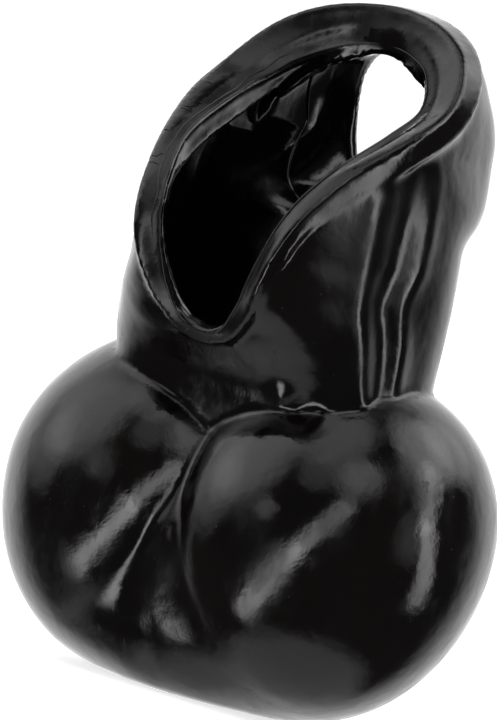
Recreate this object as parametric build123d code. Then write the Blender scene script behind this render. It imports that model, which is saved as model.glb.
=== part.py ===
"""Two-lobed elastomer pouch with a sleeve neck and a thick ring collar, one moulding.

Millimetres, +Z up. The pouch stands on the flats under its lobes at z = 0.
X runs across the two lobes, and X = 0 is the moulding's plane of symmetry.
The collar's sloping front mouth faces -Y, and its upright rear mouth faces +Y.
The origin is on the standing plane, midway between the axes of the two lobes.

The real object is one piece. It is written as regions of that moulding that meet
face to face, so that each can stay open where the moulding is open.
"""

import math
import os

from build123d import *

# Driving dimensions
HEIGHT = 130.0  # standing plane to the crown of the collar
WALL = 3.2  # lobes and neck
COLLAR_WALL = 6.8  # round the top of the ring

# Lobes: two ellipsoids of revolution on vertical axes, trimmed by the standing plane
LOBE_X = 18.3  # from the plane of symmetry to each lobe's axis
LOBE_RADIUS = 29.2
LOBE_HALF_HEIGHT = 34.0
LOBE_Z = 33.0

# Web that fills the crease between the lobes, down to the standing plane
WEB_Z = 28.0
WEB_HALF_X = 13.0
WEB_HALF_Y = 24.3
WEB_HALF_Z = 29.5

# Neck and collar in plan: half an ellipse forward, half an ellipse back
PLAN_HALF_X = 29.3
PLAN_FRONT = 44.0
PLAN_REAR = 31.0

# Neck and collar from the front: straight sides that taper into a round arch
NECK_HALF_X = 29.3
TAPER_Z = 75.0
ARCH_RADIUS = 25.2
ARCH_Z = HEIGHT - ARCH_RADIUS

# Neck and collar from the side
NECK_BOTTOM_Z = 30.0  # inside the lobes
NECK_FRONT_Y = -20.5
NECK_REAR_Y = 20.5
LIP_Y = -36.0  # foremost edge of the mouth's lip
LIP_LOW_Z = 76.0
LIP_HIGH_Z = 84.5  # the front face slopes back at 45 degrees above this
REAR_Y = 27.0  # the collar's rear bulge
REAR_BULGE_LOW_Z = 95.0
REAR_BULGE_HIGH_Z = 108.0
CROWN_FRONT_Y = LIP_Y + HEIGHT - LIP_HIGH_Z
CROWN_REAR_Y = CROWN_FRONT_Y + 4.0

# Front mouth: a teardrop that runs down to a notch
MOUTH_RADIUS = 17.5
MOUTH_Z = 103.9
NOTCH_Z = 64.0
NOTCH_ROUND = 3.0

# Rear mouth: round
REAR_MOUTH_RADIUS = 14.0
REAR_MOUTH_Z = 108.5

# Heights where the regions of the moulding meet
LOBES_TOP_Z = 50.0
NECK_TOP_Z = 88.0

REACH = 200.0  # how far a cutting block runs past the moulding


def ellipsoid(x, z, half_x, half_y, half_z):
    """An ellipsoid centred on the plane y = 0."""
    ball = scale(Sphere(1.0), by=(half_x, half_y, half_z))
    return Pos(x, 0, z) * ball


def lobes(inset):
    """Both lobes, taken in by inset all round."""
    radius = LOBE_RADIUS - inset
    right = ellipsoid(LOBE_X, LOBE_Z, radius, radius, LOBE_HALF_HEIGHT - inset)
    return right + mirror(right, about=Plane.YZ)


def web(inset):
    """The web, taken in by inset front, back, above and below. Its sides are in the lobes."""
    half_y = WEB_HALF_Y - inset
    return ellipsoid(0, WEB_Z, WEB_HALF_X, half_y, WEB_HALF_Z - inset)


def plan_block(inset):
    """The neck's and collar's plan outline, drawn in by inset, through the full height."""
    forward = Ellipse(PLAN_HALF_X - inset, PLAN_FRONT - inset)
    forward = forward & Pos(0, -REACH / 2) * Rectangle(REACH, REACH)
    backward = Ellipse(PLAN_HALF_X - inset, PLAN_REAR - inset)
    backward = backward & Pos(0, REACH / 2) * Rectangle(REACH, REACH)
    return extrude(forward + backward, REACH)


def front_block(inset, arch_radius):
    """The outline from the front, drawn in by inset below its arch, through the full depth."""
    sides = make_face(
        Polyline(
            (-(NECK_HALF_X - inset), NECK_BOTTOM_Z),
            (NECK_HALF_X - inset, NECK_BOTTOM_Z),
            (NECK_HALF_X - inset, TAPER_Z),
            (arch_radius, ARCH_Z),
            (-arch_radius, ARCH_Z),
            (-(NECK_HALF_X - inset), TAPER_Z),
            close=True,
        )
    )
    arch = Pos(0, ARCH_Z) * Circle(arch_radius)
    return extrude(Plane.XZ * (sides + arch), REACH, both=True)


def side_block(inset):
    """The outline from the side, drawn in by inset, through the full width."""
    outline = make_face(
        Polyline(
            (NECK_FRONT_Y, NECK_BOTTOM_Z),
            (NECK_FRONT_Y, LOBES_TOP_Z),
            (LIP_Y, LIP_LOW_Z),
            (LIP_Y, LIP_HIGH_Z),
            (CROWN_FRONT_Y, HEIGHT),
            (CROWN_REAR_Y, HEIGHT),
            (REAR_Y, REAR_BULGE_HIGH_Z),
            (REAR_Y, REAR_BULGE_LOW_Z),
            (NECK_REAR_Y, NECK_TOP_Z),
            (NECK_REAR_Y, NECK_BOTTOM_Z),
            close=True,
        )
    )
    if inset > 0:
        outline = offset(outline, amount=-inset, kind=Kind.INTERSECTION)
    return extrude(Plane.YZ * outline, REACH, both=True)


def front_mouth():
    """The teardrop, cut forward from the middle of the collar."""
    reach_down = MOUTH_Z - NOTCH_Z
    lean = math.asin(MOUTH_RADIUS / reach_down)
    side_x = MOUTH_RADIUS * math.cos(lean)
    side_z = MOUTH_Z - MOUTH_RADIUS * math.sin(lean)
    point = make_face(Polyline((0, NOTCH_Z), (side_x, side_z), (-side_x, side_z), close=True))
    point = fillet(point.vertices().sort_by(Axis.Y)[0], NOTCH_ROUND)
    teardrop = point + Pos(0, MOUTH_Z) * Circle(MOUTH_RADIUS)
    return extrude(Plane.XZ * teardrop, REACH)


def rear_mouth():
    """The round hole, cut back from the middle of the collar."""
    return extrude(Plane.XZ * Pos(0, REAR_MOUTH_Z) * Circle(REAR_MOUTH_RADIUS), -REACH)


def slab(low_z, high_z, low_x=-REACH, high_x=REACH):
    """A block between two heights, and between two planes across the width."""
    centre = Pos((low_x + high_x) / 2, 0, (low_z + high_z) / 2)
    return centre * Box(high_x - low_x, 2 * REACH, high_z - low_z)


def moulding():
    """The whole pouch as one hollow solid."""
    neck = plan_block(0.0) & front_block(0.0, ARCH_RADIUS) & side_block(0.0)
    outside = (neck + lobes(0.0) + web(0.0)) & slab(0, REACH)
    throat = plan_block(WALL) & front_block(WALL, ARCH_RADIUS - COLLAR_WALL) & side_block(WALL)
    inside = throat + lobes(WALL) + web(WALL)
    return outside - inside - front_mouth() - rear_mouth()


REGIONS = {
    "left_lobe": slab(-REACH, LOBES_TOP_Z, -REACH, 0),
    "right_lobe": slab(-REACH, LOBES_TOP_Z, 0, REACH),
    "neck_sleeve": slab(LOBES_TOP_Z, NECK_TOP_Z),
    "ring_collar": slab(NECK_TOP_Z, REACH),
}

os.makedirs("parts", exist_ok=True)
pouch = moulding()
for name, region in REGIONS.items():
    piece = pouch & region
    piece.label = name
    export_step(piece, f"parts/{name}.step")
    print(name, len(piece.solids()), "solids", round(piece.volume), "mm3")
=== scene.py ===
"""The pouch as one continuous soft moulding, with its studio.

The moulding is written as a signed distance in millimetres, meshed by surface nets,
and handed to Blender in metres. It stands for all the CAD regions, because the real
object is one piece.
"""

import math

import bpy
import numpy as np
from mathutils import Matrix, Vector


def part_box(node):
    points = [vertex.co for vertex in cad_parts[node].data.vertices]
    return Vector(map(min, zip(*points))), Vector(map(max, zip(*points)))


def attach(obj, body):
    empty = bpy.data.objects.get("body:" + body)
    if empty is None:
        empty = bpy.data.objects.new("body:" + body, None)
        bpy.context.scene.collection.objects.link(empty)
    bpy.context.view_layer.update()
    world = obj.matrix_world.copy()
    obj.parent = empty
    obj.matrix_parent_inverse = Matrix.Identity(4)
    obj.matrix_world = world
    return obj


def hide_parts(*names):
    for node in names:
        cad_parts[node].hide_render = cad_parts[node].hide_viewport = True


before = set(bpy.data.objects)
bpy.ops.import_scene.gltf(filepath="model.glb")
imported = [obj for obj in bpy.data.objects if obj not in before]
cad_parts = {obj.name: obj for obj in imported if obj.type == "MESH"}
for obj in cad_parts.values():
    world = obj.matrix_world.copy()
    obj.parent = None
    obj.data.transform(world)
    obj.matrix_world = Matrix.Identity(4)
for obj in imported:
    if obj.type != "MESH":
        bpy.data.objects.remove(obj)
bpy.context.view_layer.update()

MM = 0.001
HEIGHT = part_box("ring_collar")[1][2] / MM  # crown of the collar, in millimetres

# Meshing
CELL = 0.86
SETTLE_STEPS = 3

# Lobes: the height of the widest part, and how far each reaches above and below it.
# The right one sits a little higher, as soft mouldings do, and both lean back upwards.
LOBE_X = 18.3
LOBE_RADIUS = 29.2
LEFT_LOBE_Z = 34.2
RIGHT_LOBE_Z = 35.2
LOBE_ABOVE = 29.5
LOBE_BELOW = 34.4
LOBE_LEAN = ((5, -1.2), (33, 0.0), (47, 1.4), (58, 2.5))
LOBE_WALL = 3.4
WEB_HALF_X = 20.0
WEB_HALF_Y = 25.2
WEB_HALF_Z = 27.5
WEB_Z = 24.5
WEB_BLEND = ((0, 12.0), (8, 9.0), (16, 4.0), (26, 1.0))

# Collar
ARCH_RADIUS = 25.0
ARCH_Z = HEIGHT - ARCH_RADIUS
ARCH_WALL = 6.4
SIDE_WALL = 3.2  # the collar's wall seen from the side
REAR_SLOPE_Y = 28.0  # a point on the slope that trims the collar's rear shoulder
REAR_SLOPE_Z = 110.4
REAR_MOUTH_HALF_X = 12.6
REAR_MOUTH_HALF_Z = 14.4
REAR_MOUTH_Z = 107.6


# ---------------------------------------------------------------- small maths

def profile(z, stations):
    """A smooth curve through (height, value) stations, flat past both ends."""
    zs = np.array([s[0] for s in stations], float)
    vs = np.array([s[1] for s in stations], float)
    steps = np.diff(vs) / np.diff(zs)
    slopes = np.zeros(len(zs))
    rising = steps[:-1] * steps[1:] > 0
    total = np.where(rising, steps[:-1] + steps[1:], 1.0)
    slopes[1:-1] = np.where(rising, 2 * steps[:-1] * steps[1:] / total, 0.0)
    z = np.clip(z, zs[0], zs[-1])
    k = np.clip(np.searchsorted(zs, z, side="right") - 1, 0, len(zs) - 2)
    span = zs[k + 1] - zs[k]
    t = (z - zs[k]) / span
    rise = vs[k + 1] - vs[k]
    ease = t * t * (3 - 2 * t)
    bend_in = t * (1 - t) ** 2
    bend_out = t * t * (t - 1)
    return vs[k] + rise * ease + span * (slopes[k] * bend_in + slopes[k + 1] * bend_out)


def smooth_min(a, b, k):
    """The smaller of two distances, rounded over a width k where they cross."""
    h = np.clip(0.5 + 0.5 * (b - a) / k, 0.0, 1.0)
    return b * (1 - h) + a * h - k * h * (1 - h)


def smooth_max(a, b, k):
    """The larger of two distances, rounded over a width k where they cross."""
    return -smooth_min(-a, -b, k)


def bell(x, centre, width):
    """A soft bump of height 1."""
    return np.exp(-(((x - centre) / width) ** 2))


def ellipsoid(p, centre, radii):
    """Distance to an ellipsoid, good near its surface."""
    q = (p - np.array(centre)) / np.array(radii)
    near = np.sqrt((q * q).sum(-1)) + 1e-9
    slope = np.sqrt(((q / np.array(radii)) ** 2).sum(-1)) + 1e-9
    return near * (near - 1.0) / slope


# ---------------------------------------------------------------- the sleeve

HALF_WIDTH = ((46, 28.0), (58, 28.4), (66, 28.3), (76, 28.2),
              (88, 27.2), (96, 26.2), (105, 25.0), (140, 25.0))
DEPTH_FRONT = ((40, 14.5), (46, 16.6), (52, 19.0), (57, 20.9), (62, 24.6), (66, 28.6), (70, 33.0),
               (75, 37.4), (80, 41.0), (92, 42.4), (140, 42.4))
FRONT_POWER = ((50, 4.0), (60, 3.4), (66, 2.8), (70, 2.4), (76, 1.95), (82, 1.8), (100, 1.8), (108, 2.0))
DEPTH_REAR = ((40, 20.0), (66, 20.0), (88, 20.6), (95, 26.8), (105, 28.8), (113, 28.0), (122, 24.0))
REAR_POWER = ((60, 2.4), (90, 2.4), (98, 2.7), (108, 2.6), (118, 2.1))
SLEEVE_WALL = 3.0
SLEEVE_FOOT_Z = 40  # where the sleeve ends, inside the lobes
THROAT_FOOT_Z = 36

# The neck's ridges: how far round from the front each stands, in degrees, by height
FIRST_RIDGE = ((56, 66.0), (62, 60.5), (68, 57.0), (77, 52.6), (88, 51.5), (96, 52.5))
SECOND_RIDGE = ((58, 77.0), (69, 75.5), (77, 71.5), (84, 77.5), (100, 79.5))


def section_reach(p, inset):
    """How far a point is outside the sleeve's section at its own height, measured
    from the sleeve's axis, with the section taken in by inset."""
    x, y, z = p[..., 0], p[..., 1], p[..., 2]
    ax = np.abs(x)
    front = y < 0
    half_x = profile(z, HALF_WIDTH) - inset
    depth = np.where(front, profile(z, DEPTH_FRONT), profile(z, DEPTH_REAR)) - inset
    power = np.where(front, profile(z, FRONT_POWER), profile(z, REAR_POWER))
    share = ((ax / half_x) ** power + (np.abs(y) / depth) ** power) ** (1 / power) + 1e-9
    radius = np.sqrt(x * x + y * y) + 1e-9
    return radius - radius / share + side_relief(ax, y, z)


def side_relief(ax, y, z):
    """Two soft upright ridges on each side of the neck, with a flute between them."""
    turn = np.degrees(np.arctan2(ax, -y))
    fade = np.clip((z - 54) / 6, 0, 1) * np.clip((106 - z) / 16, 0, 1)
    first = profile(z, FIRST_RIDGE)
    second = profile(z, SECOND_RIDGE)
    middle = 0.5 * (first + second)
    flute = 0.9 * bell(turn, middle, 6.5)
    ridges = 0.6 * bell(turn, first, 5.5) + 0.5 * bell(turn, second, 5.0)
    return fade * (flute - ridges)


def gradient_scaled(field, p, inset, step=0.05):
    """Turns a field that is zero on a surface into a distance from it."""
    value = field(p, inset)
    total = 0.0
    for axis in range(3):
        q = p.copy()
        q[..., axis] += step
        total = total + ((field(q, inset) - value) / step) ** 2
    return value / np.sqrt(total + 1e-9)


# ---------------------------------------------------------------- the mouth's rim

# Half the rim, from the notch up to the crown: a point on the band's inner edge and the
# matching point on its outer edge. The other half mirrors it.
RIM_STATIONS = (
    ((0.0, -29.0, 65.0), (0.0, -27.4, 62.3)),
    ((3.9, -29.3, 66.4), (6.0, -28.2, 63.9)),
    ((6.7, -30.3, 70.5), (10.4, -31.2, 69.0)),
    ((8.8, -31.8, 75.4), (12.8, -34.0, 74.6)),
    ((10.6, -32.2, 80.6), (14.8, -35.0, 80.6)),
    ((12.0, -31.4, 86.0), (16.6, -33.6, 86.0)),
    ((13.6, -29.2, 91.4), (18.6, -30.2, 91.2)),
    ((15.8, -23.4, 98.0), (21.0, -24.4, 97.6)),
    ((16.9, -11.8, 105.4), (24.2, -14.4, 105.8)),
    ((16.4, -2.4, 111.2), (24.5, -5.0, 113.0)),
    ((12.4, 3.9, 116.8), (20.2, 1.6, 121.2)),
    ((6.5, 7.8, 120.3), (11.4, 6.0, 126.8)),
    ((0.0, 9.0, 121.6), (0.0, 8.4, 129.2)),
)
BAND_DEPTH = ((60, 3.0), (85, 3.2), (100, 4.0), (112, 5.2), (122, 6.0))
BAND_ROUND = 0.8  # at the band's edges
RIM_SAMPLES = 700


def through(stations):
    """A smooth path through stations that carry on mirrored past both ends."""
    path = np.array(stations, float)
    across = path * (-1, 1, 1)
    path = np.concatenate((across[1:2], path, across[-2:-1]))
    spans = []
    t = np.linspace(0.0, 1.0, 80, endpoint=False)[:, None]
    for k in range(1, len(path) - 2):
        before, start, end, after = path[k - 1:k + 3]
        tilt_in, tilt_out = 0.5 * (end - before), 0.5 * (after - start)
        ease = t * t * (3 - 2 * t)
        spans.append(start + (end - start) * ease + tilt_in * t * (1 - t) ** 2 - tilt_out * t * t * (1 - t))
    spans.append(path[-2:-1])
    return np.concatenate(spans)


def rim_frames():
    """Points along half the rim, from the notch to the crown, each with the direction
    across its band, the direction its face looks in, its half width and half depth."""
    inner = through([s[0] for s in RIM_STATIONS])
    outer = through([s[1] for s in RIM_STATIONS])
    middle = 0.5 * (inner + outer)
    run = np.concatenate(([0], np.cumsum(np.linalg.norm(np.diff(middle, axis=0), axis=1))))
    even = np.linspace(0, run[-1], RIM_SAMPLES)
    inner = np.stack([np.interp(even, run, inner[:, k]) for k in range(3)], -1)
    outer = np.stack([np.interp(even, run, outer[:, k]) for k in range(3)], -1)
    middle = 0.5 * (inner + outer)
    across = outer - inner
    half_width = np.linalg.norm(across, axis=1) / 2
    across = across / (2 * half_width[:, None])
    along = np.gradient(middle, axis=0)
    along[0] = (1, 0, 0)
    along[-1] = (-1, 0, 0)
    facing = np.cross(across, along)
    facing /= np.linalg.norm(facing, axis=1)[:, None]
    facing *= np.where(facing[:, 1] > 0, -1.0, 1.0)[:, None]
    half_depth = profile(middle[:, 2], BAND_DEPTH) / 2
    return middle - facing * half_depth[:, None], across, facing, half_width, half_depth


RIM = rim_frames()


def nearest_on_rim(here):
    """The rim sample nearest each point, with how far the point is from it across the
    band and out of its face."""
    centre, across, facing = RIM[:3]
    k = ((centre ** 2).sum(-1)[None, :] - 2 * here @ centre.T).argmin(1)
    local = here - centre[k]
    return k, (local * across[k]).sum(-1), (local * facing[k]).sum(-1)


def rim_distance(p, far=9.0):
    """Distance to the rim, a band of rounded rectangular section round the mouth."""
    centre, _, _, half_width, half_depth = RIM
    q = np.abs(p * (1, 0, 0)) + p * (0, 1, 1)
    flat = q.reshape(-1, 3)
    out = np.full(len(flat), far)
    near = (flat[:, 2] > 56) & (flat[:, 1] < 16) & (flat[:, 1] > -42)
    spots = np.nonzero(near)[0]
    coarse = centre[::20]
    for part in np.array_split(spots, max(1, len(spots) // 40000)):
        here = flat[part]
        gap = ((here[:, None, :] - coarse[None, :, :]) ** 2).sum(-1).min(1)
        part = part[gap < (far + 4) ** 2]
        if len(part) == 0:
            continue
        here = flat[part]
        k, sideways, depth = nearest_on_rim(here)
        a = np.abs(sideways) - half_width[k]
        b = np.abs(depth) - half_depth[k]
        a, b = a + BAND_ROUND, b + BAND_ROUND
        outside = np.hypot(np.maximum(a, 0), np.maximum(b, 0))
        out[part] = outside + np.minimum(np.maximum(a, b), 0) - BAND_ROUND
    return out.reshape(q.shape[:-1])


# ---------------------------------------------------------------- the moulding

def front_mouth(p):
    """Inside the front mouth, up to the middle of its band."""
    x, y, z = p[..., 0], p[..., 1], p[..., 2]
    middle = RIM[0]
    half = np.interp(z, middle[:, 2], middle[:, 0], left=-1.0, right=-1.0)
    tall = np.maximum(middle[0, 2] - z, z - middle[-1, 2])
    back = 4.0 + 5.0 * np.clip((z - 104) / 16, 0, 1)
    return np.maximum(np.maximum(0.8 * (np.abs(x) - half), tall), y - back)


def rear_mouth(p):
    """Inside the rear mouth."""
    x, y, z = p[..., 0], p[..., 1], p[..., 2]
    tall = (z - REAR_MOUTH_Z) * REAR_MOUTH_HALF_X / REAR_MOUTH_HALF_Z
    return np.maximum(np.hypot(x, tall) - REAR_MOUTH_HALF_X, -y + 9.0)


def arch(p, inset):
    """Outside the collar's round top, seen from the front."""
    x, z = p[..., 0], p[..., 2]
    above = np.maximum(z - ARCH_Z, 0)
    below = np.maximum(ARCH_Z - z, 0)
    return np.hypot(x, above) - (ARCH_RADIUS - inset) - 0.6 * below


FRONT_EDGE = ((62, -28.0), (66, -28.6), (71, -31.8), (76, -34.0), (81, -34.6), (86, -33.0), (91, -29.5),
              (98, -23.2), (106, -12.2), (112, -2.8), (119, 3.8), (123.5, 8.0), (126, 10.2), (131, 13.5))


def side_view(p, inset):
    """Outside the collar's outline seen from the side."""
    y, z = p[..., 1], p[..., 2]
    edge = profile(z, FRONT_EDGE)
    lean = profile(z + 0.5, FRONT_EDGE) - profile(z - 0.5, FRONT_EDGE)
    front = (edge - y) / np.sqrt(1 + lean * lean)
    rear = 0.72 * (y - REAR_SLOPE_Y) + 0.69 * (z - REAR_SLOPE_Z)
    return smooth_max(front, rear, 5.0) + inset


def lobe(p, x, middle_z, inset):
    """Distance to one lobe, whose upper and lower halves differ in height."""
    radii = np.empty(p.shape)
    radii[..., :2] = LOBE_RADIUS - inset
    radii[..., 2] = np.where(p[..., 2] > middle_z, LOBE_ABOVE, LOBE_BELOW) - inset
    leaned = p.copy()
    leaned[..., 1] -= profile(p[..., 2], LOBE_LEAN)
    return ellipsoid(leaned, (x, 0, middle_z), radii)


def lobes(p, inset):
    """Both lobes and the web between them."""
    right = lobe(p, LOBE_X, RIGHT_LOBE_Z, inset)
    left = lobe(p, -LOBE_X, LEFT_LOBE_Z, inset)
    both = smooth_min(left, right, 1.2)
    web = ellipsoid(p, (0, 0, WEB_Z), (WEB_HALF_X - inset, WEB_HALF_Y - inset, WEB_HALF_Z - inset))
    return smooth_min(both, web, profile(p[..., 2], WEB_BLEND))


# The pinched fold above the right lobe: centre, size and height of each part
PINCH = (
    ((14.6, -20.2, 57.2), 2.3, 0.8),
    ((18.2, -20.2, 55.4), 1.9, -0.7),
    ((23.0, -18.6, 56.8), 2.6, 0.5),
)


def pinch(p):
    """Small swellings and a dent where the neck was squeezed against the lobe."""
    total = 0.0
    for centre, size, height in PINCH:
        total = total - height * np.exp(-((p - np.array(centre)) ** 2).sum(-1) / size ** 2)
    return total


def moulding(p):
    """Signed distance to the whole pouch, in millimetres; inside is negative."""
    z = p[..., 2]
    neck = gradient_scaled(section_reach, p, 0.0)
    rear = np.clip(p[..., 1] / 12, 0.0, 1.0)
    neck = smooth_max(neck, smooth_max(arch(p, 0.0), side_view(p, 0.0), 3.0), 3.0 + 3.0 * rear)
    neck = np.maximum(neck, SLEEVE_FOOT_Z - z)
    outside = smooth_min(neck, lobes(p, 0.0), 1.0) + pinch(p)
    outside = smooth_max(outside, -z, 1.2)

    throat = gradient_scaled(section_reach, p, SLEEVE_WALL)
    throat = smooth_max(throat, smooth_max(arch(p, ARCH_WALL), side_view(p, SIDE_WALL), 3.0), 3.0)
    throat = np.maximum(throat, THROAT_FOOT_Z - z)
    hollow = smooth_min(throat, lobes(p, LOBE_WALL), 3.0)
    hollow = smooth_max(hollow, LOBE_WALL - z, 2.0)

    shell = smooth_max(outside, -hollow, 0.8)
    shell = smooth_max(shell, -rear_mouth(p), 2.0)
    shell = smooth_max(shell, -front_mouth(p), 0.8)
    within = np.clip(0.5 - hollow / 2.0, 0.0, 1.0)
    upper = np.clip((z - 84) / 14, 0.0, 1.0)
    return smooth_min(shell, rim_distance(p), 0.7 + 3.0 * within + 1.8 * upper)


# ---------------------------------------------------------------- surface nets

def neighbours(axis):
    """Where a grid's points are, all but the last along an axis, and the next ones."""
    head = [slice(None)] * 3
    tail = [slice(None)] * 3
    head[axis] = slice(0, -1)
    tail[axis] = slice(1, None)
    return tuple(head), tuple(tail)


def surface_nets(field, low, cell):
    """Vertices and quads of the zero surface of a grid of distances."""
    inside = field < 0
    shape = tuple(n - 1 for n in field.shape)
    total = np.zeros(shape + (3,))
    crossings = np.zeros(shape)
    for axis in range(3):
        head, tail = neighbours(axis)
        a, b = field[head], field[tail]
        crossing = inside[head] != inside[tail]
        t = np.where(crossing, a / np.where(crossing, a - b, 1.0), 0.0)
        others = [k for k in range(3) if k != axis]
        for first in (0, 1):
            for second in (0, 1):
                pick = [slice(None)] * 3
                pick[others[0]] = slice(first, first + shape[others[0]])
                pick[others[1]] = slice(second, second + shape[others[1]])
                c = crossing[tuple(pick)]
                crossings += c
                total[..., axis] += np.where(c, t[tuple(pick)], 0.0)
                total[..., others[0]] += np.where(c, first, 0)
                total[..., others[1]] += np.where(c, second, 0)
    active = crossings > 0
    index = np.full(shape, -1, np.int64)
    index[active] = np.arange(active.sum())
    where = np.stack(np.nonzero(active), -1)
    points = (where + total[active] / crossings[active][:, None]) * cell + low
    quads = []
    for axis in range(3):
        head, tail = neighbours(axis)
        crossing = inside[head] != inside[tail]
        spot = np.stack(np.nonzero(crossing), -1)
        others = [k for k in range(3) if k != axis]
        ok = (spot[:, others[0]] > 0) & (spot[:, others[1]] > 0)
        ok &= spot[:, others[0]] < shape[others[0]]
        ok &= spot[:, others[1]] < shape[others[1]]
        spot = spot[ok]
        ring = []
        for first, second in ((0, 0), (1, 0), (1, 1), (0, 1)):
            cellspot = spot.copy()
            cellspot[:, others[0]] -= first
            cellspot[:, others[1]] -= second
            ring.append(index[cellspot[:, 0], cellspot[:, 1], cellspot[:, 2]])
        ring = np.stack(ring, -1)
        starts_inside = inside[spot[:, 0], spot[:, 1], spot[:, 2]]
        flip = starts_inside if axis != 1 else ~starts_inside
        ring[~flip] = ring[~flip][:, ::-1]
        quads.append(ring)
    return points, np.concatenate(quads)


def field_normal(p, step=0.04):
    """The field's gradient by central differences."""
    out = np.empty_like(p)
    for axis in range(3):
        ahead, behind = p.copy(), p.copy()
        ahead[:, axis] += step
        behind[:, axis] -= step
        out[:, axis] = (moulding(ahead) - moulding(behind)) / (2 * step)
    return out


def nearer(points, longest):
    """One step of points towards the moulding's surface, none longer than longest."""
    slope = field_normal(points)
    steep = np.maximum((slope ** 2).sum(-1), 0.05)
    move = -(moulding(points) / steep)[:, None] * slope
    length = np.linalg.norm(move, axis=1)
    return points + move * np.minimum(1.0, longest / np.maximum(length, 1e-9))[:, None]


def mesh_moulding():
    """The pouch's mesh: surface nets, then each vertex settled onto the exact surface."""
    low = np.array([-50.0, -39.0, -2.4])
    high = np.array([50.0, 34.0, HEIGHT + 2.4])
    counts = np.ceil((high - low) / CELL).astype(int)
    axes = [low[k] + CELL * np.arange(counts[k]) for k in range(3)]
    field = np.empty(counts)
    for k in range(counts[0]):
        slab = np.stack(np.meshgrid([axes[0][k]], axes[1], axes[2], indexing="ij"), -1)
        field[k] = moulding(slab)[0]
    points, quads = surface_nets(field, low, CELL)
    for _ in range(SETTLE_STEPS):
        points = nearer(points, 0.5 * CELL)
    return points, quads


def add_mesh(name, points, faces, material):
    """A smooth-shaded mesh object from points in millimetres."""
    mesh = bpy.data.meshes.new(name)
    mesh.from_pydata((points * MM).tolist(), [], faces.tolist())
    mesh.validate()
    mesh.polygons.foreach_set("use_smooth", [True] * len(mesh.polygons))
    mesh.materials.append(material)
    mesh.update()
    thing = bpy.data.objects.new(name, mesh)
    bpy.context.collection.objects.link(thing)
    return thing


# ---------------------------------------------------------------- materials

def noise(tree, scale, detail=3.0, stretch=(1, 1, 1)):
    """A noise texture fixed to the object, stretched along its axes."""
    where = tree.nodes.new("ShaderNodeTexCoord")
    mapping = tree.nodes.new("ShaderNodeMapping")
    mapping.inputs["Scale"].default_value = stretch
    texture = tree.nodes.new("ShaderNodeTexNoise")
    texture.inputs["Scale"].default_value = scale
    texture.inputs["Detail"].default_value = detail
    tree.links.new(where.outputs["Object"], mapping.inputs["Vector"])
    tree.links.new(mapping.outputs["Vector"], texture.inputs["Vector"])
    return texture.outputs["Fac"]


def remap(tree, value, from_low, from_high, to_low, to_high):
    """Takes one range of values softly into another."""
    node = tree.nodes.new("ShaderNodeMapRange")
    node.interpolation_type = "SMOOTHSTEP"
    node.inputs["From Min"].default_value = from_low
    node.inputs["From Max"].default_value = from_high
    node.inputs["To Min"].default_value = to_low
    node.inputs["To Max"].default_value = to_high
    tree.links.new(value, node.inputs["Value"])
    return node.outputs["Result"]


def combine(tree, operation, first, second):
    """The sum, product or greater of two values."""
    node = tree.nodes.new("ShaderNodeMath")
    node.operation = operation
    tree.links.new(first, node.inputs[0])
    tree.links.new(second, node.inputs[1])
    return node.outputs["Value"]


def elastomer(name, scuff):
    """Black moulded elastomer: smudged gloss, drag marks, scratches and dust.
    A larger scuff dulls it, as on the handled face of the rim."""
    material = bpy.data.materials.new(name)
    material.use_nodes = True
    tree = material.node_tree
    shader = tree.nodes["Principled BSDF"]
    shader.inputs["IOR"].default_value = 1.5

    smudge = remap(tree, noise(tree, 70.0, 5.0), 0.42, 0.66, 0.0, 0.15)
    drag = remap(tree, noise(tree, 300.0, 4.0, (1, 1, 0.3)), 0.42, 0.72, 0.0, 0.10)
    scratch = remap(tree, noise(tree, 800.0, 2.0, (0.8, 0.5, 0.07)), 0.70, 0.76, 0.0, 0.18)
    dust = remap(tree, noise(tree, 2600.0, 1.0), 0.76, 0.82, 0.0, 0.5)
    rough = combine(tree, "ADD", combine(tree, "ADD", smudge, drag), combine(tree, "ADD", scratch, dust))
    base = tree.nodes.new("ShaderNodeMath")
    base.operation = "ADD"
    base.use_clamp = True
    base.inputs[1].default_value = 0.07 + scuff
    tree.links.new(rough, base.inputs[0])
    tree.links.new(base.outputs["Value"], shader.inputs["Roughness"])

    tone = tree.nodes.new("ShaderNodeMix")
    tone.data_type = "RGBA"
    tone.inputs["A"].default_value = (0.0008, 0.0007, 0.0008, 1)
    tone.inputs["B"].default_value = (0.0034, 0.0025, 0.0022, 1)
    tree.links.new(noise(tree, 45.0, 3.0), tone.inputs["Factor"])
    dusty = tree.nodes.new("ShaderNodeMix")
    dusty.data_type = "RGBA"
    dusty.inputs["B"].default_value = (0.05, 0.045, 0.04, 1)
    tree.links.new(tone.outputs["Result"], dusty.inputs["A"])
    tree.links.new(dust, dusty.inputs["Factor"])
    tree.links.new(dusty.outputs["Result"], shader.inputs["Base Color"])

    waves = remap(tree, noise(tree, 130.0, 2.0), 0.2, 0.8, 0.0, 0.45)
    ripple = remap(tree, noise(tree, 420.0, 3.0), 0.2, 0.8, 0.0, 0.13)
    grain = remap(tree, noise(tree, 1800.0, 2.0), 0.2, 0.8, 0.0, 0.03)
    relief = combine(tree, "ADD", combine(tree, "ADD", waves, ripple), grain)
    bump = tree.nodes.new("ShaderNodeBump")
    bump.inputs["Strength"].default_value = 0.35
    bump.inputs["Distance"].default_value = 0.0004
    tree.links.new(relief, bump.inputs["Height"])
    tree.links.new(bump.outputs["Normal"], shader.inputs["Normal"])
    return material


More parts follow.
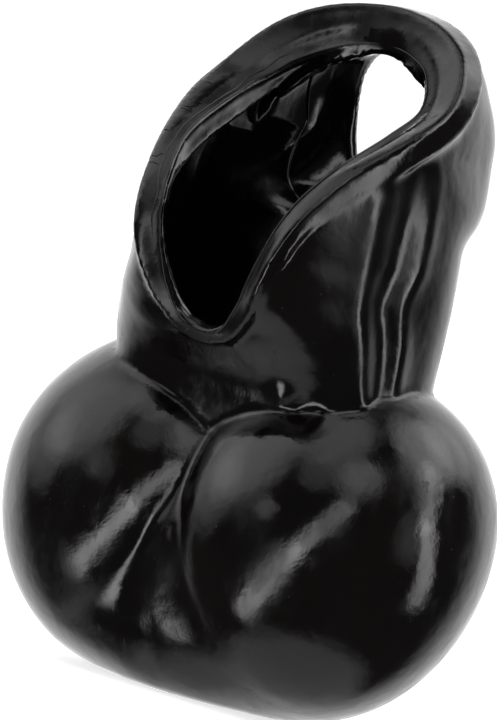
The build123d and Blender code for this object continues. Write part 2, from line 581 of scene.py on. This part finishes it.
def plain(name, colour, roughness, glow):
    """A plain studio surface, with an even glow of its own."""
    material = bpy.data.materials.new(name)
    material.use_nodes = True
    shader = material.node_tree.nodes["Principled BSDF"]
    shader.inputs["Base Color"].default_value = (*colour, 1)
    shader.inputs["Roughness"].default_value = roughness
    shader.inputs["Emission Color"].default_value = (1, 1, 1, 1)
    shader.inputs["Emission Strength"].default_value = glow
    return material


# ---------------------------------------------------------------- small moulded detail

def on_band(points, quads):
    """Which faces lie on the flat face of the rim's band."""
    half_width, half_depth = RIM[3:]
    middle = points[quads].mean(1)
    middle[:, 0] = np.abs(middle[:, 0])
    found = np.zeros(len(middle), bool)
    spots = np.nonzero((middle[:, 2] > 60) & (middle[:, 1] < 14))[0]
    for part in np.array_split(spots, 12):
        k, sideways, depth = nearest_on_rim(middle[part])
        between_edges = np.abs(sideways) < half_width[k] - 0.5
        found[part] = between_edges & (np.abs(depth - half_depth[k]) < 0.35)
    return found


def tube(name, path, radii, material, sides=6):
    """A thin bead swept along a path, with a radius for each point."""
    along = np.gradient(path, axis=0)
    along /= np.linalg.norm(along, axis=1)[:, None] + 1e-12
    side = np.cross(along, (0.31, 0.17, 0.93))
    side /= np.linalg.norm(side, axis=1)[:, None] + 1e-12
    other = np.cross(along, side)
    turn = 2 * math.pi * np.arange(sides) / sides
    ring = np.cos(turn)[None, :, None] * side[:, None, :] + np.sin(turn)[None, :, None] * other[:, None, :]
    skin = (path[:, None, :] + ring * np.asarray(radii)[:, None, None]).reshape(-1, 3)
    faces = []
    for k in range(len(path) - 1):
        for i in range(sides):
            j = (i + 1) % sides
            faces.append((k * sides + i, k * sides + j, (k + 1) * sides + j, (k + 1) * sides + i))
    bead = add_mesh(name, skin, np.array(faces), material)
    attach(bead, "root")
    return bead


def settle(path):
    """Moves points onto the moulding's surface."""
    for _ in range(6):
        path = nearer(path, 0.6)
    return path


def wander(count, size, seed):
    """A smooth random drift."""
    rng = np.random.default_rng(seed)
    knots = rng.normal(0, size, count // 12 + 4)
    return np.interp(np.arange(count), np.linspace(0, count, len(knots)), knots)


def tapered(count, radius, ends=8):
    """A bead's radii, drawn out to nothing at both ends."""
    fade = np.minimum(np.arange(count), np.arange(count)[::-1]) / ends
    return radius * np.clip(fade, 0.05, 1.0)


def rim_line(name, side, offset, drift, radius, seed, first, last):
    """A flash line along the band on one side, offset across it from the inner edge."""
    centre, across, facing, half_width, half_depth = RIM
    pick = slice(first, last, 3)
    count = len(half_width[pick])
    sideways = offset - half_width[pick] + wander(count, drift, seed)
    path = centre[pick] + across[pick] * sideways[:, None] + facing[pick] * half_depth[pick, None]
    tube(name, settle(path * (side, 1, 1)), tapered(count, radius), gloss)


SEAM_POINTS = 90
SEAM_CENTRE_Z = 100.0  # the seam's rays fan out from this height
SEAM_START_Y = 16.5
SEAM_REACH = 36.0  # past the collar's wall


def inner_seam(name, side):
    """The raised line up one side of the collar's inside, swinging forward as it climbs."""
    turn = np.radians(np.linspace(-35, 56, SEAM_POINTS))
    rise = np.sin(turn)
    heading = np.stack([side * np.cos(turn), np.zeros(SEAM_POINTS), rise], -1)
    y = SEAM_START_Y - 16.0 * np.maximum(0.0, rise - 0.3) ** 1.2
    start = np.stack([np.zeros(SEAM_POINTS), y, np.full(SEAM_POINTS, SEAM_CENTRE_Z)], -1)
    far = np.full(SEAM_POINTS, SEAM_REACH)
    for reach in np.arange(SEAM_REACH - 0.5, 6.0, -0.5):
        solid = moulding(start + heading * reach) < 0
        far = np.where(solid, reach, far)
    near = far - 0.5
    for _ in range(10):
        mid = 0.5 * (near + far)
        solid = moulding(start + heading * mid[:, None]) < 0
        near, far = np.where(solid, near, mid), np.where(solid, mid, far)
    on_wall = np.abs(near - np.median(near)) < 6.0
    path = (start + heading * near[:, None])[on_wall]
    tube(name, path, tapered(len(path), 0.34), gloss)


def nick(name, side, place, offset, lean, length, seed):
    """A short raised scar on the band's face: place runs from notch 0 to crown 1."""
    centre, across, facing, _, half_depth = RIM
    k = int(place * (RIM_SAMPLES - 1))
    along = centre[k + 4] - centre[k - 4]
    along /= np.linalg.norm(along)
    heading = across[k] * math.cos(lean) + along * math.sin(lean)
    spot = centre[k] + across[k] * offset + facing[k] * half_depth[k]
    step = np.linspace(-0.5, 0.5, 14)[:, None] * length
    path = spot + step * heading + along * wander(14, 0.18, seed)[:, None]
    tube(name, settle(path * (side, 1, 1)), tapered(14, 0.13, 4), gloss)


# ---------------------------------------------------------------- the pouch

points, quads = mesh_moulding()
print("pouch mesh", len(points), "points", len(quads), "quads")
gloss = elastomer("black_elastomer", 0.0)
pouch = add_mesh("pouch_moulding", points, quads, gloss)
pouch.data.materials.append(elastomer("scuffed_elastomer", 0.16))
pouch.data.polygons.foreach_set("material_index", on_band(points, quads).astype(int).tolist())
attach(pouch, "root")
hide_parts("left_lobe", "right_lobe", "neck_sleeve", "ring_collar")

for side, label in ((-1, "left"), (1, "right")):
    rim_line(f"inner_flash_{label}", side, 0.6, 0.10, 0.22, 5 + side, 3, 690)
    inner_seam(f"inner_seam_{label}", side)
rim_line("outer_flash", -1, 1.9, 0.25, 0.15, 9, 150, 560)

# Scars: side, place round the rim, offset across the band, lean and length
NICKS = (
    (-1, 0.36, 1.2, 0.2, 2.6),
    (-1, 0.38, 1.0, -0.3, 3.0),
    (-1, 0.45, 1.4, 0.1, 2.4),
    (-1, 0.52, 1.3, 0.5, 2.8),
    (-1, 0.53, 1.1, -0.2, 2.2),
    (-1, 0.62, 1.8, 0.3, 2.6),
    (-1, 0.65, -1.2, 1.1, 3.4),
    (-1, 0.03, -0.3, 0.9, 1.6),
    (1, 0.02, 0.2, -0.5, 1.5),
    (1, 0.05, -0.2, 0.4, 1.7),
    (1, 0.70, -1.4, 0.6, 2.6),
    (1, 0.72, -1.6, -0.4, 2.2),
)
for index, (side, place, offset, lean, length) in enumerate(NICKS):
    nick(f"nick_{index}", side, place, offset, lean, length, 20 + index)


# ---------------------------------------------------------------- the studio

AZIMUTH = math.radians(33.0)
ELEVATION = math.radians(2.0)
ROLL = math.radians(13.7)
CAMERA_DISTANCE = 0.9
SENSOR_HEIGHT = 24.0
VIEW_HEIGHT = 0.1296  # what the frame's height takes in, at the object
TARGET = Vector((-5.2, -3.4, 60.9)) * MM


def add_camera():
    """The camera, leaned so that the pouch stands askew in the frame."""
    data = bpy.data.cameras.new("camera")
    camera = bpy.data.objects.new("camera", data)
    bpy.context.collection.objects.link(camera)
    flat = Vector((math.sin(AZIMUTH), -math.cos(AZIMUTH), 0))
    back = flat * math.cos(ELEVATION) + Vector((0, 0, math.sin(ELEVATION)))
    right = Vector((math.cos(AZIMUTH), math.sin(AZIMUTH), 0))
    up = back.cross(right)
    leaned_right = right * math.cos(ROLL) + up * math.sin(ROLL)
    leaned_up = up * math.cos(ROLL) - right * math.sin(ROLL)
    turn = Matrix((leaned_right, leaned_up, back)).transposed().to_4x4()
    turn.translation = TARGET + back * CAMERA_DISTANCE
    camera.matrix_world = turn
    data.sensor_fit = "VERTICAL"
    data.sensor_height = SENSOR_HEIGHT
    data.lens = SENSOR_HEIGHT * CAMERA_DISTANCE / VIEW_HEIGHT
    data.clip_start = 0.01
    data.clip_end = 20.0
    bpy.context.scene.camera = camera


def add_floor():
    """A large pale floor. It glows white, and the pouch does not mirror it."""
    size = 6.0
    corners = np.array([(-size, -size, 0), (size, -size, 0), (size, size, 0), (-size, size, 0)])
    pale = plain("pale_floor", (0.9, 0.9, 0.9), 0.8, 0.75)
    floor = add_mesh("floor", corners / MM, np.array([[0, 1, 2, 3]]), pale)
    floor.visible_glossy = False


def studio_direction(azimuth, elevation):
    """A direction by its bearing from the camera, positive to the camera's right."""
    a, e = AZIMUTH + math.radians(azimuth), math.radians(elevation)
    return Vector((math.sin(a) * math.cos(e), -math.cos(a) * math.cos(e), math.sin(e)))


def add_softbox(name, azimuth, elevation, distance, width, height, power):
    """A rectangular area light that looks at the pouch, and is not mirrored in it."""
    data = bpy.data.lights.new(name, "AREA")
    data.shape = "RECTANGLE"
    data.size = width
    data.size_y = height
    data.energy = power
    lamp = bpy.data.objects.new(name, data)
    bpy.context.collection.objects.link(lamp)
    away = studio_direction(azimuth, elevation)
    lamp.location = Vector((0, 0, 0.06)) + away * distance
    lamp.rotation_euler = away.to_track_quat("Z", "Y").to_euler()
    lamp.visible_glossy = False
    return lamp


# Soft round sources: bearing from the camera, height, both in degrees, then the angle of
# the even middle, the angle where the edge has faded out, and the brightness
SOURCES = (
    (-92, 36, 12, 34, 1.3),
    (-100, 12, 6, 24, 0.7),
    (-54, 16, 2, 12, 0.9),
    (-52, 74, 8, 26, 1.0),
    (10, 52, 4, 18, 1.6),
    (-30, 50, 3, 16, 0.5),
    (60, 14, 5, 20, 0.5),
    (100, 57, 8, 24, 2.0),
    (124, 44, 5, 20, 1.4),
)

# Soft strips: where each starts and ends, as bearing and height, then the half width of the
# even middle, the half width where it has faded out, and the brightness
STRIPS = (
    ((-66, -42), (-20, -4), 1.5, 9.5, 4.4),
    ((-20, -4), (6, 32), 1.0, 9.0, 2.6),
    ((78, -18), (66, 20), 1.5, 9.5, 3.2),
    ((66, 20), (88, 50), 1.5, 9.5, 2.8),
)
FRONT_GREY = 0.045
BEHIND = 1.3
BELOW = 0.62
BACKDROP = 1.1  # the white that the camera sees


def add_world():
    """White behind the pouch, dark towards the camera, with soft sources round about."""
    world = bpy.data.worlds.new("studio")
    bpy.context.scene.world = world
    world.use_nodes = True
    tree = world.node_tree
    background = tree.nodes["Background"]
    where = tree.nodes.new("ShaderNodeTexCoord")

    def along(direction):
        """How far a direction looks along a given one."""
        aim = tree.nodes.new("ShaderNodeVectorMath")
        aim.operation = "DOT_PRODUCT"
        aim.inputs[1].default_value = direction
        tree.links.new(where.outputs["Generated"], aim.inputs[0])
        return aim.outputs["Value"]

    total = remap(tree, along(-studio_direction(0, 0)), 0.28, 0.74, 0.0, BEHIND)
    total = combine(tree, "ADD", total, remap(tree, along(Vector((0, 0, -1))), 0.75, 0.88, 0.0, BELOW))
    for azimuth, elevation, even, faded, brightness in SOURCES:
        low, high = math.cos(math.radians(faded)), math.cos(math.radians(even))
        source = remap(tree, along(studio_direction(azimuth, elevation)), low, high, 0.0, brightness)
        total = combine(tree, "ADD", total, source)
    for start, end, even, faded, brightness in STRIPS:
        start, end = studio_direction(*start), studio_direction(*end)
        middle = (start + end).normalized()
        aside = tree.nodes.new("ShaderNodeMath")
        aside.operation = "ABSOLUTE"
        tree.links.new(along(start.cross(end).normalized()), aside.inputs[0])
        even_edge = math.sin(math.radians(even))
        faded_edge = math.sin(math.radians(faded))
        narrow = remap(tree, aside.outputs["Value"], even_edge, faded_edge, brightness, 0.0)
        half_length = start.angle(end) / 2
        past_end = math.cos(half_length + 0.10)
        short_of_end = math.cos(half_length - 0.06)
        long = remap(tree, along(middle), past_end, short_of_end, 0.0, 1.0)
        total = combine(tree, "ADD", total, combine(tree, "MULTIPLY", narrow, long))
    grey = tree.nodes.new("ShaderNodeMath")
    grey.operation = "ADD"
    grey.inputs[1].default_value = FRONT_GREY
    tree.links.new(total, grey.inputs[0])
    lights = tree.nodes.new("ShaderNodeLightPath")
    seen = tree.nodes.new("ShaderNodeMix")
    seen.data_type = "FLOAT"
    seen.inputs["B"].default_value = BACKDROP
    tree.links.new(lights.outputs["Is Camera Ray"], seen.inputs["Factor"])
    tree.links.new(grey.outputs["Value"], seen.inputs["A"])
    tree.links.new(seen.outputs["Result"], background.inputs["Strength"])
    background.inputs["Color"].default_value = (1, 1, 1, 1)


add_camera()
add_floor()
add_world()
add_softbox("top", -20, 75, 1.4, 1.2, 1.2, 8)
bpy.context.scene.view_settings.view_transform = "Standard"
